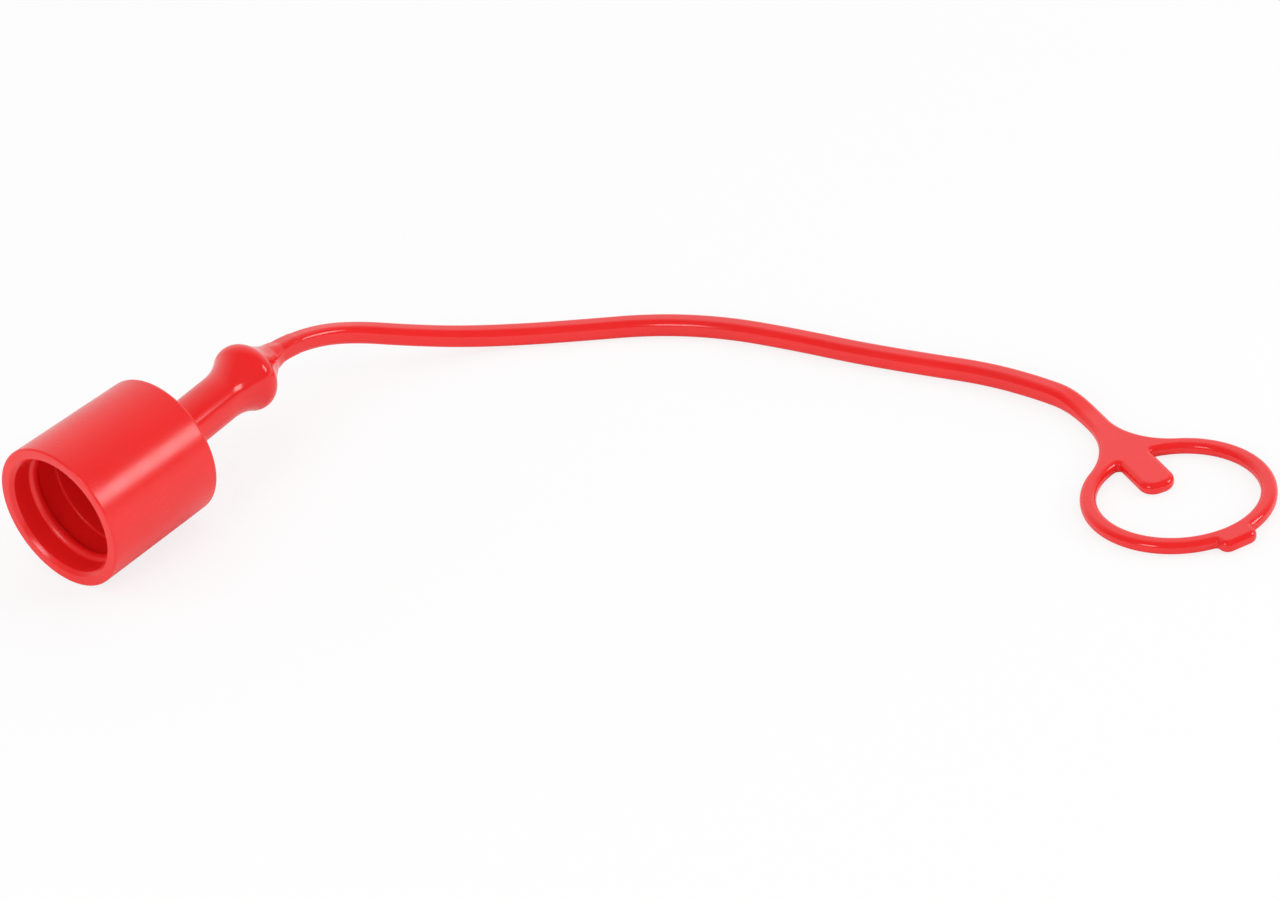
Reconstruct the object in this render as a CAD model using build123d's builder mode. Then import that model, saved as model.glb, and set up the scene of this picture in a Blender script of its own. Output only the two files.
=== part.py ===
from build123d import *
import os
from math import cos, radians, sin, sqrt, tan

# Tethered protection cap, moulded in one piece from soft PVC: a plug cup, a neck with a
# knob behind it, a long strap that lies on the table, and a flat ring with a tongue and a
# pull tab. Millimetres. The cup lies on its side: its bore axis is X, the mouth is at
# x = 0 and faces -X, and the mouth's rim touches the table below.

# Cup, outside
mouth_dia = 30.88
back_dia = 30.0
cup_length = 29.6
rim_bevel = 0.35

# Cup, inside, from the mouth to the bottom of the pocket
land_dia = 25.0
lead_in_depth = 0.8
lead_in_width = 0.8
bead_start = 4.7
bead_height = 0.9
bead_round = 1.2
bead_ramp = 45.0
recess_extra = 0.4
shoulder_depth = 12.0
shoulder_height = 0.5
back_wall = 3.6

# Neck and knob, turned about an axis that leans a little in plan
neck_dia = 10.1
neck_lean = 4.55
neck_foot_bevel = 0.4
knob_dia = 14.7
knob_reach = 26.8
knob_round = 3.35
neck_flare = 13.8
root_flare = 20.0
root_sink = 0.4

# Strap, a square with broken corners in section
strap_width = 4.3
strap_height = 4.1
strap_bevel = 1.0

# Ring, tongue and pull tab, one flat moulding: rounded above, bevelled underneath
flat_thickness = 2.65
flat_edge_round = 1.15
flat_edge_bevel = 0.75
ring_inner_dia = 31.0
ring_width = 3.15
ring_x = 122.8
ring_y = -177.4
tongue_heading = -120.0
tongue_width = 7.2
tongue_shift = -1.4
tongue_gap = 3.4
tongue_tip_round = 3.1
left_flare = 15.0
right_flare = 20.0
tab_turn = 6.5
tab_width = 8.0
tab_reach = 2.3
tab_tip_round = 2.0
plate_lead = 1.0
last_run = 7.0

os.makedirs("parts", exist_ok=True)

table_z = -mouth_dia / 2
strap_z = table_z + strap_height / 2
land_radius = land_dia / 2
recess_radius = land_radius + recess_extra
deep_radius = recess_radius - shoulder_height
pocket_depth = cup_length - back_wall
ring_inner = ring_inner_dia / 2
ring_outer = ring_inner + ring_width
ring_middle = ring_inner + ring_width / 2

# The bead starts square to the land, as an arc, and runs down to the recess by a ramp.
bead_centre_r = land_radius + bead_round - bead_height
bead_half = sqrt(bead_round**2 - (bead_round - bead_height) ** 2)
bead_centre_x = bead_start + bead_half
bead_crest = (bead_centre_x, land_radius - bead_height)
ramp = radians(bead_ramp)
bead_back = (bead_centre_x + bead_round * sin(ramp), bead_centre_r - bead_round * cos(ramp))
bead_heel = (bead_back[0] + (recess_radius - bead_back[1]) / tan(ramp), recess_radius)

# The neck's own plane has its axis as x. The neck runs up a concave flare into the knob,
# and the knob runs down a second one into the root of the strap. Both sections are half
# profiles, with the distance from the back of the cup, or from the knob's middle, as x.
lean = (cos(radians(neck_lean)), sin(radians(neck_lean)), 0)
neck_plane = Plane(origin=(cup_length, 0, 0), x_dir=lean, z_dir=(lean[1], -lean[0], 0))
knob_hub = knob_dia / 2 - knob_round
root_radius = strap_height / 2 - root_sink


def flare_points(stem_radius, flare):
    """Where a flare leaves its stem, and where it touches the knob's edge arc.

    Both are measured from the knob's middle, away from the knob.
    """
    height = stem_radius + flare
    reach = sqrt((flare + knob_round) ** 2 - (height - knob_hub) ** 2)
    share = knob_round / (flare + knob_round)
    return (reach, stem_radius), (reach * share, knob_hub + (height - knob_hub) * share)


neck_top, neck_contact = flare_points(neck_dia / 2, neck_flare)
root_tip, root_contact = flare_points(root_radius, root_flare)
knob_middle = neck_plane.from_local_coords((knob_reach, 0, 0))

# The loop's own plane has the tongue's heading as x and its centre at the ring's centre.
heading = Vector(cos(radians(tongue_heading)), sin(radians(tongue_heading)), 0)
across = Vector(-heading.Y, heading.X, 0)
loop_plane = Plane(origin=(ring_x, ring_y, table_z), x_dir=heading, z_dir=(0, 0, 1))


def flare_reach(side, flare):
    """How far before the ring's centre an outside flare starts on the strap's edge."""
    offset = side * tongue_shift + strap_width / 2 + flare
    return sqrt((ring_outer + flare) ** 2 - offset**2)


def loop_point(along, height):
    """Point on the tongue's centre line, at a distance along the heading."""
    point = Vector(ring_x, ring_y, height) + heading * along + across * tongue_shift
    return (point.X, point.Y, point.Z)


# The plate starts just before the first flare, and the strap ends against it.
plate_start = -max(flare_reach(1, left_flare), flare_reach(-1, right_flare)) - plate_lead

# The strap's route, knob to ring: it leaves the knob, sinks to the table and runs along it.
strap_route = [
    tuple(knob_middle),
    (68.0, 4.0, -0.4),
    (78.0, 3.0, -2.2),
    (86.5, 0.0, -5.2),
    (94.5, -7.0, -8.6),
    (103.0, -14.0, -11.8),
    (111.5, -23.5, strap_z),
    (118.5, -34.0, strap_z),
    (127.5, -47.0, strap_z),
    (133.0, -61.5, strap_z),
    (135.5, -78.0, strap_z),
    (137.0, -93.0, strap_z),
    (139.5, -108.0, strap_z),
    (142.0, -121.0, strap_z),
    (142.1, -133.5, strap_z),
    loop_point(plate_start - last_run, strap_z),
    loop_point(plate_start, strap_z),
]


def bend_radii(points):
    """Radius at each corner: 0.45 of the shorter run over the tangent of half the turn."""
    vectors = [Vector(*point) for point in points]
    radii = []
    for before, corner, after in zip(vectors, vectors[1:], vectors[2:]):
        run_in = corner - before
        run_out = after - corner
        half_turn = radians(run_in.get_angle(run_out) / 2)
        radii.append(0.45 * min(run_in.length, run_out.length) / tan(half_turn))
    return radii


strap_radii = bend_radii(strap_route)
print("strap bend radii:", [round(radius, 1) for radius in strap_radii])

# The last bend is a stretch of its own, where the strap thins down to the ring's plate.
taper_start = (Vector(*strap_route[-3]) + Vector(*strap_route[-2])) / 2
taper_foot = Vector(0, 0, table_z - strap_z)

# Ring, tongue, pull tab and the flared plate that joins them to the strap.
with BuildPart() as loop:
    with BuildSketch(loop_plane) as outline:
        Circle(ring_outer)
        with Locations((plate_start, tongue_shift)):
            Rectangle(-plate_start, strap_width, align=(Align.MIN, Align.CENTER))
        Circle(ring_inner, mode=Mode.SUBTRACT)
        with Locations((-tongue_gap, tongue_shift)):
            Rectangle(ring_middle - tongue_gap, tongue_width, align=(Align.MAX, Align.CENTER))
        with Locations(Location((0, 0, 0), (0, 0, tab_turn))):
            with Locations((ring_middle, 0)):
                Rectangle(ring_outer - ring_middle + tab_reach, tab_width, align=(Align.MIN, Align.CENTER))

        def corner(x, y):
            """The outline's vertex nearest to a point."""
            return outline.vertices().sort_by_distance((x, y, 0))[0]

        left_edge = tongue_shift + strap_width / 2
        right_edge = tongue_shift - strap_width / 2
        fillet(corner(-sqrt(ring_outer**2 - left_edge**2), left_edge), left_flare)
        fillet(corner(-sqrt(ring_outer**2 - right_edge**2), right_edge), right_flare)
        for side in (-1, 1):
            fillet(corner(-tongue_gap, tongue_shift + side * tongue_width / 2), tongue_tip_round)
            tab_tip = Vector(ring_outer + tab_reach, side * tab_width / 2).rotate(Axis.Z, tab_turn)
            fillet(corner(tab_tip.X, tab_tip.Y), tab_tip_round)
    extrude(amount=flat_thickness)
    fillet(loop.faces().sort_by(Axis.Z)[-1].edges(), flat_edge_round)
    chamfer(loop.faces().sort_by(Axis.Z)[0].edges(), flat_edge_bevel)

with BuildPart() as protection_cap:
    # Cup: flat lip, lead-in, land, snap bead, recess, shoulder and pocket.
    with BuildSketch(Plane.XZ):
        with BuildLine():
            lip = Line((0, mouth_dia / 2), (0, land_radius + lead_in_width))
            lead_in = Line(lip @ 1, (lead_in_depth, land_radius))
            land = Line(lead_in @ 1, (bead_start, land_radius))
            bead = ThreePointArc(land @ 1, bead_crest, bead_back)
            heel = Line(bead @ 1, bead_heel)
            recess = Line(heel @ 1, (shoulder_depth, recess_radius))
            shoulder = Line(recess @ 1, (shoulder_depth, deep_radius))
            pocket = Line(shoulder @ 1, (pocket_depth, deep_radius))
            floor = Line(pocket @ 1, (pocket_depth, 0))
            Polyline(floor @ 1, (cup_length, 0), (cup_length, back_dia / 2), lip @ 0)
        make_face()
    revolve(axis=Axis.X)
    outer_rims = protection_cap.edges().filter_by(GeomType.CIRCLE).sort_by(SortBy.RADIUS)[-2:]
    chamfer(outer_rims, rim_bevel)

    # Neck and knob, sunk into the cup's back wall.
    with BuildSketch(neck_plane):
        with BuildLine():
            stem = Line((-back_wall / 2, neck_dia / 2), (knob_reach - neck_top[0], neck_dia / 2))
            flare = RadiusArc(stem @ 1, (knob_reach - neck_contact[0], neck_contact[1]), -neck_flare)
            front = RadiusArc(flare @ 1, (knob_reach, knob_dia / 2), knob_round)
            rear = RadiusArc(front @ 1, (knob_reach + knob_round, knob_hub), knob_round)
            Polyline(rear @ 1, (knob_reach + knob_round, 0), (-back_wall / 2, 0), stem @ 0)
        make_face()
    revolve(axis=Axis(neck_plane.origin, neck_plane.x_dir))
    back_edges = protection_cap.edges().filter_by_position(Axis.X, cup_length, cup_length)
    chamfer(back_edges.sort_by(SortBy.LENGTH)[0], neck_foot_bevel)

    # Root of the strap, a trumpet about the strap's first run that dies into the strap.
    first_run = (Vector(*strap_route[1]) - knob_middle).normalized()
    root_plane = Plane(origin=knob_middle, x_dir=first_run, z_dir=(first_run.Y, -first_run.X, 0))
    with BuildSketch(root_plane):
        with BuildLine():
            trumpet = RadiusArc(root_contact, root_tip, -root_flare)
            Polyline(trumpet @ 1, (root_tip[0], 0), (0, 0), (0, knob_hub), trumpet @ 0)
        make_face()
    revolve(axis=Axis(knob_middle, first_run))

    # Strap, swept from the end of its taper, where its section stands upright.
    with BuildLine() as route:
        FilletPolyline(taper_start, *strap_route[-3::-1], radius=strap_radii[-2::-1])
    with BuildSketch(Plane(origin=taper_start, x_dir=across, z_dir=route.wire() % 0)) as section:
        Rectangle(strap_width, strap_height)
        chamfer(section.vertices(), strap_bevel)
    sweep(path=route.wire())

    # Taper from the strap's height down to the plate's, with its underside on the table.
    with BuildLine() as taper_route:
        taper_corners = [taper_start, *strap_route[-2:]]
        FilletPolyline(*[Vector(*point) + taper_foot for point in taper_corners], radius=strap_radii[-1])
    for position, height, bevel in ((0, strap_height, strap_bevel), (1, flat_thickness, flat_edge_bevel)):
        tangent = taper_route.wire() % position
        level = Vector(-tangent.Y, tangent.X, 0)
        with BuildSketch(Plane(origin=taper_route.wire() @ position, x_dir=level, z_dir=tangent)) as section:
            Rectangle(strap_width, height, align=(Align.CENTER, Align.MIN))
            chamfer(section.vertices(), bevel)
    sweep(path=taper_route.wire(), multisection=True)

    add(loop.part)

protection_cap.part.label = "protection_cap"
export_step(protection_cap.part, "parts/protection_cap.step")
print("strap length along its route:", round(route.wire().length, 1))
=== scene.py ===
import math

import bpy
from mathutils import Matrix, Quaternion, Vector


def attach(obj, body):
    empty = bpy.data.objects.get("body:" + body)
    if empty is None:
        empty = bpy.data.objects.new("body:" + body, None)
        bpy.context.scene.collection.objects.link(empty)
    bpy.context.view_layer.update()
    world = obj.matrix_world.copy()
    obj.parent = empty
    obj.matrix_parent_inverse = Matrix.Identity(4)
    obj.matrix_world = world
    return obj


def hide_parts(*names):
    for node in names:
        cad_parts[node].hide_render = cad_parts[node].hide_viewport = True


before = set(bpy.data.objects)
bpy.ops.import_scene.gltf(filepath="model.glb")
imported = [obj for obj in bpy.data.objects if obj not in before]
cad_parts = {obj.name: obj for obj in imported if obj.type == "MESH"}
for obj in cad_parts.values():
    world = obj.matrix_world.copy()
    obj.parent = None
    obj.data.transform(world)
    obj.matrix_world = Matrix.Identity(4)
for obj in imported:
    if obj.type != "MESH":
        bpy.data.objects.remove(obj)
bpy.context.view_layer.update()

bl_info = {
    "name": "Tethered protection cap",
    "version": (1, 0, 0),
    "blender": (4, 5, 0),
    "location": "View3D > Sidebar > Protection cap",
    "description": "A soft moulded protection cap with its strap and tether ring",
    "category": "Add Mesh",
}

NODE = "protection_cap"
MM = 0.001
CORNER_POINTS = 24
CURVE_STEPS = 48
FOOT_STEPS = 6
FINE_STEP = 0.45 * MM
COARSE_STEP = 0.95 * MM
TANGENT_REACH = 0.6 * MM
CORNER_SWELL = 0.12 * MM
EDGE_BREAK = 0.12 * MM
HEEL_ROUND = 0.5 * MM
POINT_WELD = MM * 1e-3
PIECE_WELD = 6e-6
LEVEL_TOLERANCE = 2e-6
SMOOTH_ANGLE = math.radians(32)

SATIN_ROUGHNESS = 0.24
GLOSS_ROUGHNESS = 0.14
PVC_IOR = 1.53
BUMP_STRENGTH = 0.25
BUMP_DISTANCE = 0.00006

CUP_FRONT = (0.015, 0.0, 0.0)
TOWARDS_BACK = (0.73, 0.683, 0.0)
DIFFUSE_LEVEL = 0.88
DIM_LEVEL = 0.12
BRIGHT_LEVEL = 1.0
TABLE_GLOW = 0.8
TABLE_SIZE = 8.0
TABLE_GAP = 0.00002
CAMERA_PLACE = (-0.3978, -0.5282, 0.4035)
CAMERA_AIM = (0.0897, -0.0721)
CAMERA_ROLL = math.radians(-8.93)
CAMERA_LENS = 110.8
SENSOR_WIDTH = 36.0


def length(name, default, description):
    """A size, kept in metres and given here in millimetres."""
    return bpy.props.FloatProperty(
        name=name,
        description=description,
        default=default * MM,
        unit="LENGTH",
        precision=5,
    )


def colour(name, default, description):
    """A colour, given as it looks on the screen."""
    return bpy.props.FloatVectorProperty(
        name=name,
        description=description,
        default=default,
        subtype="COLOR_GAMMA",
        size=3,
        min=0.0,
        max=1.0,
    )


class CupSizes(bpy.types.PropertyGroup):
    """Sizes of the plug cup."""

    mouth_dia: length("Mouth diameter", 30.88, "Outside of the cup at its mouth")
    back_dia: length("Back diameter", 30.0, "Outside of the cup at its back")
    cup_length: length("Cup length", 29.6, "From the lip to the back face")
    mouth_round: length("Mouth edge", 0.45, "Rounding of the outer edge at the mouth")
    back_round: length("Back edge", 0.9, "Rounding of the outer edge at the back")
    land_dia: length("Land diameter", 25.0, "Inside of the short land behind the lip")
    lead_in: length("Lead-in", 0.8, "Depth and width of the bevel into the mouth")
    bead_start: length("Bead start", 4.7, "Where the snap bead starts")
    bead_height: length("Bead height", 0.9, "How far the bead stands off the land")
    bead_round: length("Bead radius", 1.2, "Radius of the bead's crest")
    recess_extra: length("Recess", 0.4, "How far the wall lies back behind the bead")
    shoulder_depth: length("Shoulder depth", 12.0, "Where the pocket steps in")
    shoulder_height: length("Shoulder height", 0.5, "How far the pocket steps in")
    back_wall: length("Back wall", 3.6, "Thickness behind the pocket")
    pocket_round: length("Pocket corner", 1.0, "Rounding at the bottom of the pocket")


class StrapSizes(bpy.types.PropertyGroup):
    """Sizes of the neck, the knob and the strap."""

    neck_dia: length("Neck diameter", 10.1, "Straight part of the neck")
    neck_foot: length("Neck foot", 0.7, "Rounding where the neck meets the cup")
    knob_dia: length("Knob diameter", 14.7, "Greatest diameter of the knob")
    knob_reach: length("Knob reach", 26.8, "From the cup's back to the knob's middle")
    knob_round: length("Knob edge", 3.35, "Radius of the knob's edge")
    neck_flare: length("Neck flare", 13.8, "Radius of the flare from neck to knob")
    root_flare: length("Root flare", 20.0, "Radius of the flare from knob to strap")
    root_sink: length("Root sink", 0.4, "How deep the flare dies into the strap")
    strap_width: length("Strap width", 4.3, "Width of the strap")
    strap_height: length("Strap height", 4.1, "Height of the strap")
    strap_round: length("Strap corner", 1.5, "Rounding along the strap's edges")
    thinning: length("Thinning", 13.0, "Length over which the strap thins to the ring")
    root_reach: length("Root reach", 16.0, "From the knob's middle to the strap's plain run")
    last_run: length("Last run", 7.0, "Straight run of the strap before the plate")
    lean: bpy.props.FloatProperty(
        name="Lean",
        description="How far the neck leans to the left of the cup's axis",
        default=math.radians(4.55),
        unit="ROTATION",
    )


class LoopSizes(bpy.types.PropertyGroup):
    """Sizes of the ring, its tongue, its pull tab and the plate they share."""

    thickness: length("Thickness", 2.65, "Height of the flat moulding")
    edge_round: length("Edge radius", 1.15, "Rounding along all its edges")
    inner_dia: length("Ring inside", 31.0, "Inner diameter of the ring")
    ring_width: length("Ring width", 3.15, "Width of the ring's band")
    centre_x: length("Ring centre X", 122.8, "Where the ring's centre lies")
    centre_y: length("Ring centre Y", -177.4, "Where the ring's centre lies")
    heading: bpy.props.FloatProperty(
        name="Heading",
        description="Direction of the tongue, from the strap into the ring",
        default=math.radians(-120.0),
        unit="ROTATION",
    )
    shift: length("Tongue shift", -1.4, "How far the tongue lies off the centre")
    tongue_width: length("Tongue width", 7.2, "Width of the tongue")
    tongue_gap: length("Tongue gap", 3.4, "From the tongue's tip to the ring's centre")
    tongue_tip: length("Tongue corner", 3.1, "Rounding of the tongue's tip")
    notch: length("Notch", 0.6, "Rounding where the tongue leaves the ring")
    left_flare: length("Left flare", 15.0, "Radius from the strap into the ring, left")
    right_flare: length("Right flare", 20.0, "Radius from the strap into the ring, right")
    tab_turn: bpy.props.FloatProperty(
        name="Tab turn",
        description="How far the pull tab is turned from the tongue's direction",
        default=math.radians(6.5),
        unit="ROTATION",
    )
    tab_width: length("Tab width", 8.0, "Width of the pull tab")
    tab_reach: length("Tab reach", 2.3, "How far the tab stands out of the ring")
    tab_tip: length("Tab corner", 2.0, "Rounding of the tab's tip")
    tab_foot: length("Tab foot", 0.5, "Rounding where the tab leaves the ring")
    lead: length("Plate lead", 1.0, "Straight start of the plate")


class CapColours(bpy.types.PropertyGroup):
    """Colours of the moulding and the table."""

    pvc: colour("Soft PVC", (0.93, 0.13, 0.13), "The moulding's red")
    table: colour("Table", (0.97, 0.97, 0.97), "The table it lies on")


def linear(shade):
    """A screen colour as a linear colour with full alpha."""
    return (*(((value + 0.055) / 1.055) ** 2.4 for value in shade), 1.0)


def sizes():
    """The scene's size and colour groups."""
    scene = bpy.context.scene
    return scene.cap_cup, scene.cap_strap, scene.cap_loop, scene.cap_colours


def clear_selection():
    """Leaves object mode with nothing selected."""
    if bpy.context.object and bpy.context.object.mode != "OBJECT":
        bpy.ops.object.mode_set(mode="OBJECT")
    bpy.ops.object.select_all(action="DESELECT")


def choose(*objects):
    """Selects these objects alone and makes the first one active."""
    clear_selection()
    for obj in objects:
        obj.select_set(True)
    bpy.context.view_layer.objects.active = objects[0]


def shape_grid(name, rows):
    """A grid primitive whose rows of points are put in place one by one."""
    clear_selection()
    bpy.ops.mesh.primitive_grid_add(x_subdivisions=len(rows[0]) - 1, y_subdivisions=len(rows) - 1)
    obj = bpy.context.object
    obj.name = name
    for vertex, point in zip(obj.data.vertices, [point for row in rows for point in row]):
        vertex.co = point
    return obj


def arc(centre, radius, start, end, steps):
    """Points on an arc, both ends included. The angles are in degrees."""
    points = []
    for i in range(steps + 1):
        angle = math.radians(start + (end - start) * i / steps)
        points.append((centre[0] + radius * math.cos(angle), centre[1] + radius * math.sin(angle)))
    return points


def corner_angles():
    """Angles of the points round one quarter of a section, half a step in from its ends."""
    return [(i + 0.5) * math.pi / 2 / CORNER_POINTS for i in range(CORNER_POINTS)]


def section(half_width, half_height, corner):
    """Points of a rounded rectangle, anticlockwise from the right-hand side."""
    points = []
    for quarter in range(4):
        turn = quarter * math.pi / 2
        side = (half_width - corner) * (1, -1, -1, 1)[quarter]
        rise = (half_height - corner) * (1, 1, -1, -1)[quarter]
        for angle in corner_angles():
            points.append((side + corner * math.cos(turn + angle), rise + corner * math.sin(turn + angle)))
    return points


def cup_profile(cup):
    """The cup's half section as (x, radius) points, from the pocket's floor to the neck."""
    land = cup.land_dia / 2
    recess = land + cup.recess_extra
    deep = recess - cup.shoulder_height
    floor = cup.cup_length - cup.back_wall
    crest_r = land + cup.bead_round - cup.bead_height
    half = math.sqrt(cup.bead_round**2 - (cup.bead_round - cup.bead_height) ** 2)
    crest_x = cup.bead_start + half
    start = math.degrees(math.atan2(land - crest_r, -half))
    heel_x = crest_x + cup.bead_round * math.sin(math.pi / 4)
    heel_x += recess - (crest_r - cup.bead_round * math.cos(math.pi / 4))
    pocket = cup.pocket_round
    mouth, back = cup.mouth_dia / 2, cup.back_dia / 2
    points = [(floor, 0.0), (floor, deep * 0.5), (floor, deep - pocket - 0.2 * MM)]
    points += arc((floor - pocket, deep - pocket), pocket, 0, 90, 8)
    points += [(cup.shoulder_depth + (floor - cup.shoulder_depth) * 0.5, deep)]
    points += arc((cup.shoulder_depth + EDGE_BREAK, deep + EDGE_BREAK), EDGE_BREAK, -90, -180, 3)
    points += [(cup.shoulder_depth, recess - 2 * EDGE_BREAK)]
    points += [(cup.shoulder_depth - EDGE_BREAK, recess), ((cup.shoulder_depth + heel_x) / 2, recess)]
    heel_run = HEEL_ROUND * math.tan(math.pi / 8)
    points += arc((heel_x + heel_run, recess - HEEL_ROUND), HEEL_ROUND, 90, 135, 4)
    points += arc((crest_x, crest_r), cup.bead_round, -45, start, 16)
    points += [(cup.bead_start - 0.05 * MM, land), (cup.bead_start * 0.5, land)]
    diagonal = EDGE_BREAK * 0.7
    points += [(cup.lead_in + EDGE_BREAK, land), (cup.lead_in - diagonal, land + diagonal)]
    points += [(diagonal, land + cup.lead_in - diagonal), (0.0, land + cup.lead_in + EDGE_BREAK)]
    edge = cup.mouth_round
    points += [(0.0, (land + cup.lead_in + mouth) / 2)]
    points += arc((edge, mouth - edge), edge, 180, 90, 6)
    taper = (mouth - back) / cup.cup_length
    for share in (0.1, 0.5, 0.9):
        points.append((cup.cup_length * share, mouth - taper * cup.cup_length * share))
    edge = cup.back_round
    points += arc((cup.cup_length - edge, back - edge), edge, 90, 0, 10)
    return points


def spin_cup(cup, foot_radius):
    """The cup, spun about X from its half section."""
    clear_selection()
    profile = cup_profile(cup)
    profile.append((cup.cup_length, cup.back_dia / 2 - cup.back_round - 0.4 * MM))
    profile.append((cup.cup_length, foot_radius))
    angle = corner_angles()[0]
    points = [Vector((x, r * math.cos(angle), r * math.sin(angle))) for x, r in profile]
    bpy.ops.mesh.primitive_plane_add(size=MM)
    obj = bpy.context.object
    obj.name = "cup"
    bpy.ops.object.mode_set(mode="EDIT")
    bpy.ops.mesh.select_all(action="SELECT")
    bpy.ops.mesh.merge(type="CENTER")
    bpy.ops.transform.translate(value=points[0])
    for before, after in zip(points, points[1:]):
        bpy.ops.mesh.extrude_region_move(TRANSFORM_OT_translate={"value": after - before})
    bpy.ops.mesh.select_all(action="SELECT")
    bpy.ops.mesh.spin(steps=4 * CORNER_POINTS, angle=2 * math.pi, center=(0, 0, 0), axis=(1, 0, 0))
    bpy.ops.mesh.select_all(action="SELECT")
    bpy.ops.mesh.remove_doubles(threshold=POINT_WELD)
    bpy.ops.object.mode_set(mode="OBJECT")
    return obj


def loop_axes(loop):
    """Centre, heading and left-hand direction of the ring's own plane."""
    centre = Vector((loop.centre_x, loop.centre_y, 0))
    along = Vector((math.cos(loop.heading), math.sin(loop.heading), 0))
    return centre, along, Vector((-along.y, along.x, 0))


def flare_centre(loop, strap, side):
    """Centre of the flare on one side of the strap, in the ring's own plane."""
    outer = loop.inner_dia / 2 + loop.ring_width
    flare = loop.left_flare if side > 0 else loop.right_flare
    offset = side * loop.shift + strap.strap_width / 2 + flare
    return -math.sqrt((outer + flare) ** 2 - offset**2), side * offset, flare


def plate_start(loop, strap):
    """Where the plate starts, along the heading from the ring's centre."""
    return min(flare_centre(loop, strap, side)[0] for side in (-1, 1)) - loop.lead


def strap_line(cup, strap, loop):
    """Smooth centre line from the cup's back to the plate, as close points."""
    table = -cup.mouth_dia / 2
    low = table + strap.strap_height / 2
    foot = Vector((cup.cup_length, 0, 0))
    knob = foot + Vector((math.cos(strap.lean), math.sin(strap.lean), 0)) * strap.knob_reach
    route = [foot, knob]
    for x, y, z in (
        (68.0, 4.0, -0.4),
        (78.0, 3.0, -2.2),
        (86.5, 0.0, -5.2),
        (94.5, -7.0, -8.6),
        (103.0, -14.0, -11.8),
    ):
        route.append(Vector((x, y, z)) * MM)
    for x, y in (
        (111.5, -23.5),
        (118.5, -34.0),
        (127.5, -47.0),
        (133.0, -61.5),
        (135.5, -78.0),
        (137.0, -93.0),
        (139.5, -108.0),
        (142.0, -121.0),
        (142.1, -133.5),
    ):
        route.append(Vector((x * MM, y * MM, low)))
    centre, along, left = loop_axes(loop)
    end = centre + along * plate_start(loop, strap) + left * loop.shift
    for back in (strap.last_run, 0.0):
        route.append(Vector((0, 0, low)) + end - along * back)
    clear_selection()
    bpy.ops.curve.primitive_nurbs_path_add()
    obj = bpy.context.object
    obj.data.splines.clear()
    spline = obj.data.splines.new("NURBS")
    spline.points.add(len(route) - 1)
    for point, place in zip(spline.points, route):
        point.co = (*place, 1.0)
    spline.order_u = 3
    spline.use_endpoint_u = True
    spline.resolution_u = CURVE_STEPS
    obj.data.resolution_u = CURVE_STEPS
    bpy.ops.object.convert(target="MESH")
    line = [vertex.co.copy() for vertex in bpy.context.object.data.vertices]
    bpy.ops.object.delete()
    return line


def walk(line):
    """A function that gives the point at a distance along the line, and the line's length."""
    marks = [0.0]
    for before, after in zip(line, line[1:]):
        marks.append(marks[-1] + (after - before).length)

    def at(distance):
        distance = min(max(distance, 0.0), marks[-1])
        low, high = 0, len(marks) - 1
        while high - low > 1:
            middle = (low + high) // 2
            if marks[middle] <= distance:
                low = middle
            else:
                high = middle
        share = (distance - marks[low]) / (marks[high] - marks[low])
        return line[low].lerp(line[high], share)

    return at, marks[-1]


def ease(value, low, high):
    """0 below low, 1 above high, smooth between."""
    share = min(max((value - low) / (high - low), 0.0), 1.0)
    return share * share * (3 - 2 * share)


def turned_radius(strap, s):
    """Radius of the turned form, neck to root, at a distance from the cup's back."""
    neck = strap.neck_dia / 2
    hub = strap.knob_dia / 2 - strap.knob_round
    if s < strap.neck_foot:
        return neck + strap.neck_foot - math.sqrt(strap.neck_foot**2 - (strap.neck_foot - s) ** 2)
    off = s - strap.knob_reach
    if off < 0:
        stem, flare = neck, strap.neck_flare
    else:
        stem, flare = strap.strap_height / 2 - strap.root_sink, strap.root_flare
    reach = math.sqrt((flare + strap.knob_round) ** 2 - (stem + flare - hub) ** 2)
    touch = reach * strap.knob_round / (flare + strap.knob_round)
    if abs(off) <= touch:
        return hub + math.sqrt(strap.knob_round**2 - off**2)
    if abs(off) < reach:
        return stem + flare - math.sqrt(flare**2 - (reach - abs(off)) ** 2)
    return stem


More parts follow.
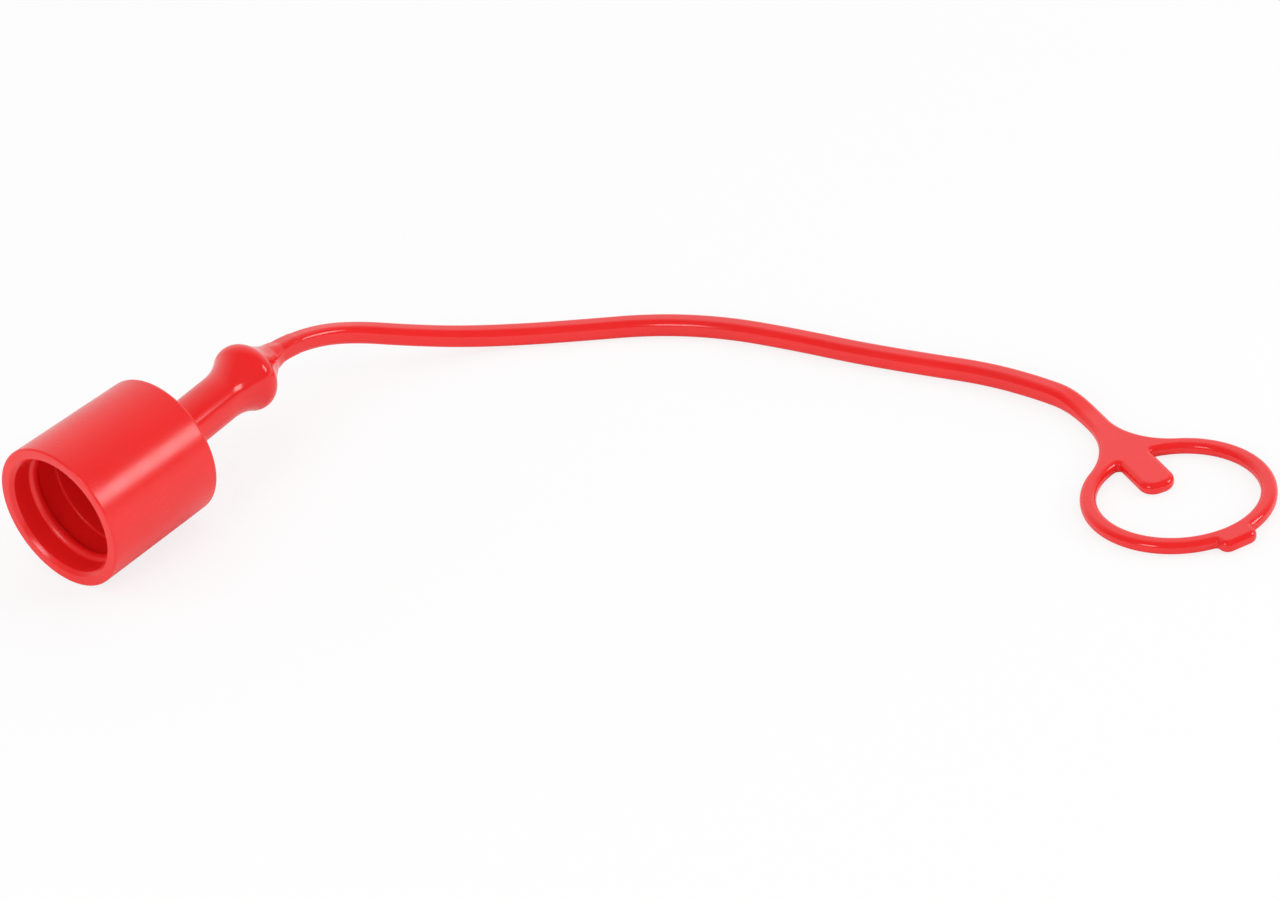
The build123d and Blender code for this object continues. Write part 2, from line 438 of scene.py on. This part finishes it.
def strap_rings(cup, strap, loop):
    """Rings of points from the cup's back face to the plate's start."""
    at, total = walk(strap_line(cup, strap, loop))
    root_end = strap.knob_reach + strap.root_reach
    stations = []
    s = 0.0
    while s < total - 0.3 * MM:
        stations.append(s)
        if s < strap.neck_foot:
            s += strap.neck_foot / FOOT_STEPS
        elif s < root_end:
            s += FINE_STEP
        else:
            s += COARSE_STEP
    stations.append(total)
    half_width = strap.strap_width / 2
    rings = []
    for s in stations:
        tangent = (at(s + TANGENT_REACH) - at(s - TANGENT_REACH)).normalized()
        tangent = Vector((1, 0, 0)).lerp(tangent, ease(s, 0.0, 5 * MM)).normalized()
        if s == total:
            tangent = loop_axes(loop)[1]
        left = Vector((-tangent.y, tangent.x, 0)).normalized()
        up = tangent.cross(left).normalized()
        if up.z < 0:
            up = -up
        radius = turned_radius(strap, s)
        thin = ease(s, total - strap.thinning, total - 0.5 * MM)
        height = strap.strap_height + (loop.thickness - strap.strap_height) * thin
        corner = strap.strap_round + (loop.edge_round - strap.strap_round) * thin
        roundness = ease(radius, 1.9 * MM, 3.3 * MM)
        halves = []
        for half in (half_width, height / 2):
            swell = CORNER_SWELL * ease(radius, 1.2 * MM, half) * (1 - roundness)
            halves.append(half if s > root_end else max(half, radius) + swell)
        corner += (min(halves) - corner) * roundness
        centre = at(s)
        centre.z -= (strap.strap_height - height) / 2
        ring = [centre - left * x + up * z for x, z in section(*halves, corner)]
        rings.append(ring + ring[:1])
    return rings


def outer_outline(strap, loop):
    """Outside edge, left of the strap round the ring to its right, in the ring's own plane."""
    outer = loop.inner_dia / 2 + loop.ring_width
    start = plate_start(loop, strap)
    ends = {}
    for side in (1, -1):
        u, v, flare = flare_centre(loop, strap, side)
        edge = side * (strap.strap_width / 2) + loop.shift
        touch = math.degrees(math.atan2(-v, -u))
        leave = -90.0 * side
        if side > 0:
            touch = touch if touch < 0 else touch - 360
            ends[side] = [(start, edge)] + arc((u, v), flare, leave, touch, 22)
        else:
            ends[side] = arc((u, v), flare, touch, leave, 22) + [(start, edge)]
    first = math.degrees(math.atan2(ends[1][-1][1], ends[1][-1][0])) % 360
    last = math.degrees(math.atan2(ends[-1][0][1], ends[-1][0][0])) % 360
    turn = math.degrees(loop.tab_turn)
    half = loop.tab_width / 2
    tip = outer + loop.tab_reach
    foot = loop.tab_foot
    foot_u = math.sqrt((outer + foot) ** 2 - (half + foot) ** 2)
    foot_angle = math.degrees(math.atan2(half + foot, foot_u))
    tab = arc((foot_u, half + foot), foot, 180 + foot_angle, 270, 6)
    tab += arc((tip - loop.tab_tip, half - loop.tab_tip), loop.tab_tip, 90, 0, 10)
    tab += [(x, -y) for x, y in reversed(tab)]
    cos, sin = math.cos(loop.tab_turn), math.sin(loop.tab_turn)
    turned = [(x * cos - y * sin, x * sin + y * cos) for x, y in tab]
    before = arc((0, 0), outer, first, turn + foot_angle, 90)[1:-1]
    after = arc((0, 0), outer, turn - foot_angle, last - 360, 90)[1:-1]
    return ends[1] + before + turned + after + ends[-1]


def inner_outline(loop):
    """Inside edge of the ring with its tongue, as a closed outline in the ring's own plane."""
    inner = loop.inner_dia / 2
    notch, tip = loop.notch, loop.tongue_tip
    points = []
    for side in (1, -1):
        edge = loop.shift + side * loop.tongue_width / 2
        v = edge + side * notch
        u = -math.sqrt((inner - notch) ** 2 - v**2)
        touch = math.degrees(math.atan2(v, u))
        corner = arc((u, v), notch, touch, touch + side * ((-90 * side - touch) * side % 360), 8)
        corner += arc((-loop.tongue_gap - tip, edge - side * tip), tip, 90 * side, 0, 12)
        if side < 0:
            corner.reverse()
        points += corner
    first = math.degrees(math.atan2(points[-1][1], points[-1][0]))
    last = math.degrees(math.atan2(points[0][1], points[0][0]))
    points += arc((0, 0), inner, first, last, 150)[1:-1]
    return points


def rim_rows(outline, closed, cup, loop):
    """Rows of points over the rounded edge, from the flat top down to the underside.

    The material lies on the right of the outline.
    """
    centre, along, left = loop_axes(loop)
    table = -cup.mouth_dia / 2
    r, middle = loop.edge_round, table + loop.thickness / 2
    count = len(outline)
    normals = []
    for i, point in enumerate(outline):
        before = outline[i - 1] if closed or i else point
        after = outline[(i + 1) % count] if closed or i < count - 1 else point
        du, dv = after[0] - before[0], after[1] - before[1]
        size = math.hypot(du, dv)
        normals.append((dv / size, -du / size))
    rows = []
    angles = corner_angles()
    flat = loop.thickness / 2 - r
    levels = [(r * (1 - math.cos(a)), middle + flat + r * math.sin(a)) for a in reversed(angles)]
    levels += [(r * (1 - math.cos(a)), middle - flat - r * math.sin(a)) for a in angles]
    for inset, z in levels:
        row = []
        for (u, v), (nu, nv) in zip(outline, normals):
            place = centre + along * (u + nu * inset) + left * (v + nv * inset)
            row.append(Vector((place.x, place.y, z)))
        rows.append(row + row[:1] if closed else row)
    return rows


def fill_flat(obj, level):
    """Fills the open edges that lie at one level."""
    choose(obj)
    bpy.ops.object.mode_set(mode="EDIT")
    bpy.ops.mesh.select_mode(type="EDGE")
    bpy.ops.mesh.select_all(action="DESELECT")
    bpy.ops.mesh.select_non_manifold(extend=False, use_wire=False, use_boundary=True)
    bpy.ops.object.mode_set(mode="OBJECT")
    for edge in obj.data.edges:
        if edge.select:
            edge.select = all(abs(obj.data.vertices[i].co.z - level) < LEVEL_TOLERANCE for i in edge.vertices)
    bpy.ops.object.mode_set(mode="EDIT")
    bpy.ops.mesh.fill(use_beauty=True)
    bpy.ops.object.mode_set(mode="OBJECT")


class CAP_OT_cup(bpy.types.Operator):
    """Spins the cup with its lip, snap bead and pocket"""

    bl_idname = "cap.cup"
    bl_label = "Cup"

    def execute(self, context):
        cup, strap, _, _ = sizes()
        spin_cup(cup, turned_radius(strap, 0.0))
        return {"FINISHED"}


class CAP_OT_strap(bpy.types.Operator):
    """Draws out the neck, the knob and the strap as one tube"""

    bl_idname = "cap.strap"
    bl_label = "Neck, knob and strap"

    def execute(self, context):
        cup, strap, loop, _ = sizes()
        shape_grid("strap", strap_rings(cup, strap, loop))
        return {"FINISHED"}


class CAP_OT_loop(bpy.types.Operator):
    """Shapes the rounded edges of the ring, the tongue, the pull tab and the plate"""

    bl_idname = "cap.loop"
    bl_label = "Ring, tongue and tab"

    def execute(self, context):
        cup, strap, loop, _ = sizes()
        shape_grid("outer_rim", rim_rows(outer_outline(strap, loop), False, cup, loop))
        shape_grid("inner_rim", rim_rows(inner_outline(loop), True, cup, loop))
        return {"FINISHED"}


def node_group(name, inputs, outputs):
    """An empty shader node group with its sockets, and its input and output nodes."""
    group = bpy.data.node_groups.new(name, "ShaderNodeTree")
    for label, kind, default in inputs:
        socket = group.interface.new_socket(name=label, in_out="INPUT", socket_type=kind)
        if default is not None:
            socket.default_value = default
    for label, kind in outputs:
        group.interface.new_socket(name=label, in_out="OUTPUT", socket_type=kind)
    return group, group.nodes.new("NodeGroupInput"), group.nodes.new("NodeGroupOutput")


def noise(tree, vector, scale, detail):
    """A noise texture on the given coordinates."""
    node = tree.nodes.new("ShaderNodeTexNoise")
    node.inputs["Scale"].default_value = scale
    node.inputs["Detail"].default_value = detail
    tree.links.new(vector, node.inputs["Vector"])
    return node


def span(tree, value, low, high, to_low, to_high):
    """Maps a value from one span to another and holds it there."""
    node = tree.nodes.new("ShaderNodeMapRange")
    for label, number in (("From Min", low), ("From Max", high), ("To Min", to_low), ("To Max", to_high)):
        node.inputs[label].default_value = number
    tree.links.new(value, node.inputs["Value"])
    return node.outputs["Result"]


def moulded_skin():
    """Colour, roughness and height of a moulded soft surface: mottle, haze and fine grain."""
    group, given, made = node_group(
        "Moulded skin",
        (
            ("Vector", "NodeSocketVector", None),
            ("Colour", "NodeSocketColor", (0.8, 0.02, 0.02, 1.0)),
            ("Roughness", "NodeSocketFloat", 0.35),
        ),
        (("Colour", "NodeSocketColor"), ("Roughness", "NodeSocketFloat"), ("Height", "NodeSocketFloat")),
    )
    vector = given.outputs["Vector"]
    mottle = noise(group, vector, 45.0, 3.0)
    grain = noise(group, vector, 2600.0, 2.0)
    haze = noise(group, vector, 160.0, 4.0)
    tint = group.nodes.new("ShaderNodeHueSaturation")
    tint.inputs["Hue"].default_value = 0.5
    group.links.new(given.outputs["Colour"], tint.inputs["Color"])
    group.links.new(span(group, mottle.outputs["Fac"], 0.3, 0.7, 0.96, 1.04), tint.inputs["Value"])
    group.links.new(tint.outputs["Color"], made.inputs["Colour"])
    rough = group.nodes.new("ShaderNodeMath")
    rough.operation = "ADD"
    group.links.new(given.outputs["Roughness"], rough.inputs[0])
    group.links.new(span(group, haze.outputs["Fac"], 0.3, 0.7, -0.03, 0.04), rough.inputs[1])
    group.links.new(rough.outputs["Value"], made.inputs["Roughness"])
    total = group.nodes.new("ShaderNodeMath")
    total.operation = "ADD"
    group.links.new(span(group, grain.outputs["Fac"], 0.0, 1.0, 0.0, 0.10), total.inputs[0])
    group.links.new(span(group, haze.outputs["Fac"], 0.0, 1.0, 0.0, 0.35), total.inputs[1])
    group.links.new(total.outputs["Value"], made.inputs["Height"])
    return group


def pvc_material(name, shade, roughness, skin):
    """Soft moulded PVC: the given colour with a skin of its own roughness."""
    material = bpy.data.materials.new(name)
    material.use_nodes = True
    tree = material.node_tree
    shader = tree.nodes["Principled BSDF"]
    place = tree.nodes.new("ShaderNodeTexCoord")
    group = tree.nodes.new("ShaderNodeGroup")
    group.node_tree = skin
    tree.links.new(place.outputs["Object"], group.inputs["Vector"])
    group.inputs["Colour"].default_value = linear(shade)
    group.inputs["Roughness"].default_value = roughness
    tree.links.new(group.outputs["Colour"], shader.inputs["Base Color"])
    tree.links.new(group.outputs["Roughness"], shader.inputs["Roughness"])
    shader.inputs["IOR"].default_value = PVC_IOR
    bump = tree.nodes.new("ShaderNodeBump")
    bump.inputs["Strength"].default_value = BUMP_STRENGTH
    bump.inputs["Distance"].default_value = BUMP_DISTANCE
    tree.links.new(group.outputs["Height"], bump.inputs["Height"])
    tree.links.new(bump.outputs["Normal"], shader.inputs["Normal"])
    return material


class CAP_OT_weld(bpy.types.Operator):
    """Welds the shapes into one closed moulding and gives it its finish"""

    bl_idname = "cap.weld"
    bl_label = "Weld and finish"

    def execute(self, context):
        cup, _, loop, colours = sizes()
        parts = [bpy.data.objects[name] for name in ("cup", "strap", "outer_rim", "inner_rim")]
        skin = moulded_skin()
        satin = pvc_material("Satin PVC", colours.pvc, SATIN_ROUGHNESS, skin)
        gloss = pvc_material("Glossy PVC", colours.pvc, GLOSS_ROUGHNESS, skin)
        for part in parts:
            for slot in (satin, gloss):
                part.data.materials.append(slot)
            for face in part.data.polygons:
                face.material_index = 0 if part.name == "cup" else 1
        choose(*parts)
        bpy.ops.object.join()
        moulding = context.object
        moulding.name = "moulded_cap"
        bpy.ops.object.transform_apply(location=True, rotation=True, scale=True)
        bpy.ops.object.mode_set(mode="EDIT")
        bpy.ops.mesh.select_all(action="SELECT")
        bpy.ops.mesh.remove_doubles(threshold=PIECE_WELD)
        bpy.ops.object.mode_set(mode="OBJECT")
        table = -cup.mouth_dia / 2
        rise = loop.edge_round * (1 - math.sin(corner_angles()[-1]))
        fill_flat(moulding, table + loop.thickness - rise)
        fill_flat(moulding, table + rise)
        bpy.ops.object.mode_set(mode="EDIT")
        bpy.ops.mesh.select_all(action="SELECT")
        bpy.ops.mesh.normals_make_consistent(inside=False)
        bpy.ops.mesh.select_all(action="DESELECT")
        bpy.ops.mesh.select_mode(type="VERT")
        bpy.ops.mesh.select_non_manifold()
        bpy.ops.object.mode_set(mode="OBJECT")
        if any(vertex.select for vertex in moulding.data.vertices):
            raise RuntimeError("the moulding has open edges")
        bpy.ops.object.shade_smooth_by_angle(angle=SMOOTH_ANGLE)
        bpy.ops.object.modifier_add(type="WEIGHTED_NORMAL")
        moulding.modifiers[-1].keep_sharp = True
        bpy.ops.object.modifier_apply(modifier=moulding.modifiers[-1].name)
        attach(moulding, "root")
        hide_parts(NODE)
        return {"FINISHED"}


def lamp(name, place, target, width, height, power):
    """A soft box that faces its target. Places are in metres."""
    bpy.ops.object.light_add(type="AREA", location=place)
    light = bpy.context.object
    light.name = name
    light.data.shape = "RECTANGLE"
    light.data.size, light.data.size_y = width, height
    light.data.energy = power
    light.rotation_mode = "QUATERNION"
    light.rotation_quaternion = (Vector(target) - Vector(place)).to_track_quat("-Z", "Y")


def surroundings():
    """White surroundings that reflect bright from behind the cap and dim from before it."""
    world = bpy.data.worlds.new("Studio")
    world.use_nodes = True
    tree = world.node_tree
    back = tree.nodes["Background"]
    back.inputs["Color"].default_value = (1.0, 1.0, 1.0, 1.0)
    place = tree.nodes.new("ShaderNodeTexCoord")
    behind = tree.nodes.new("ShaderNodeVectorMath")
    behind.operation = "DOT_PRODUCT"
    behind.inputs[1].default_value = TOWARDS_BACK
    tree.links.new(place.outputs["Generated"], behind.inputs[0])
    mirrored = span(tree, behind.outputs["Value"], 0.15, 0.80, DIM_LEVEL, BRIGHT_LEVEL)
    path = tree.nodes.new("ShaderNodeLightPath")
    level = tree.nodes.new("ShaderNodeMix")
    level.inputs["A"].default_value = DIFFUSE_LEVEL
    tree.links.new(path.outputs["Is Glossy Ray"], level.inputs["Factor"])
    tree.links.new(mirrored, level.inputs["B"])
    seen = tree.nodes.new("ShaderNodeMath")
    seen.operation = "MAXIMUM"
    tree.links.new(level.outputs["Result"], seen.inputs[0])
    tree.links.new(path.outputs["Is Camera Ray"], seen.inputs[1])
    tree.links.new(seen.outputs["Value"], back.inputs["Strength"])
    return world


def table_material(shade):
    """Pale table that takes the shadow and looks nearly white to the camera."""
    material = bpy.data.materials.new("Pale table")
    material.use_nodes = True
    tree = material.node_tree
    shader = tree.nodes["Principled BSDF"]
    shader.inputs["Base Color"].default_value = linear(shade)
    shader.inputs["Roughness"].default_value = 0.7
    shader.inputs["Specular IOR Level"].default_value = 0.2
    glow = tree.nodes.new("ShaderNodeEmission")
    path = tree.nodes.new("ShaderNodeLightPath")
    share = tree.nodes.new("ShaderNodeMath")
    share.operation = "MULTIPLY"
    share.inputs[1].default_value = TABLE_GLOW
    mix = tree.nodes.new("ShaderNodeMixShader")
    tree.links.new(path.outputs["Is Camera Ray"], share.inputs[0])
    tree.links.new(share.outputs["Value"], mix.inputs["Fac"])
    tree.links.new(shader.outputs["BSDF"], mix.inputs[1])
    tree.links.new(glow.outputs["Emission"], mix.inputs[2])
    tree.links.new(mix.outputs["Shader"], tree.nodes["Material Output"].inputs["Surface"])
    return material


class CAP_OT_stage(bpy.types.Operator):
    """Sets the table, the soft boxes, the surroundings and the camera"""

    bl_idname = "cap.stage"
    bl_label = "Table, light and camera"

    def execute(self, context):
        cup, _, _, colours = sizes()
        table = -cup.mouth_dia / 2
        clear_selection()
        bpy.ops.mesh.primitive_plane_add(size=TABLE_SIZE, location=(0.09, -0.07, table - TABLE_GAP))
        floor = context.object
        floor.name = "table"
        bpy.ops.object.transform_apply(location=True, rotation=True, scale=True)
        floor.data.materials.append(table_material(colours.table))
        lamp("key", (0.56, -0.75, 0.36), CUP_FRONT, 0.27, 0.27, 1.5)
        lamp("mouth", (-0.80, -0.12, 0.42), CUP_FRONT, 0.30, 0.30, 1.6)
        context.scene.world = surroundings()
        bpy.ops.object.camera_add(location=CAMERA_PLACE)
        camera = context.object
        camera.data.sensor_width = SENSOR_WIDTH
        camera.data.lens = CAMERA_LENS
        camera.rotation_mode = "QUATERNION"
        aim = (Vector((*CAMERA_AIM, table)) - camera.location).to_track_quat("-Z", "Y")
        camera.rotation_quaternion = aim @ Quaternion((0, 0, 1), CAMERA_ROLL)
        context.scene.camera = camera
        context.scene.view_settings.view_transform = "Standard"
        return {"FINISHED"}


class CAP_PT_panel(bpy.types.Panel):
    """Lists the pieces, their sizes and their colours"""

    bl_idname = "CAP_PT_panel"
    bl_label = "Protection cap"
    bl_space_type = "VIEW_3D"
    bl_region_type = "UI"
    bl_category = "Protection cap"

    def draw(self, context):
        for group in sizes():
            for name in group.__annotations__:
                self.layout.prop(group, name)
        for operator in OPERATORS:
            self.layout.operator(operator.bl_idname)


GROUPS = {"cap_cup": CupSizes, "cap_strap": StrapSizes, "cap_loop": LoopSizes, "cap_colours": CapColours}
OPERATORS = (CAP_OT_cup, CAP_OT_strap, CAP_OT_loop, CAP_OT_weld, CAP_OT_stage)


def register():
    """Registers the classes and hangs the groups on the scene."""
    for cls in (*GROUPS.values(), *OPERATORS, CAP_PT_panel):
        bpy.utils.register_class(cls)
    for name, cls in GROUPS.items():
        setattr(bpy.types.Scene, name, bpy.props.PointerProperty(type=cls))


def unregister():
    """Takes the groups and the classes away again."""
    for name in GROUPS:
        delattr(bpy.types.Scene, name)
    for cls in (CAP_PT_panel, *reversed(OPERATORS), *GROUPS.values()):
        bpy.utils.unregister_class(cls)


def main():
    """Makes every piece and the stage."""
    register()
    bpy.ops.cap.cup()
    bpy.ops.cap.strap()
    bpy.ops.cap.loop()
    bpy.ops.cap.weld()
    bpy.ops.cap.stage()


if __name__ == "__main__":
    main()
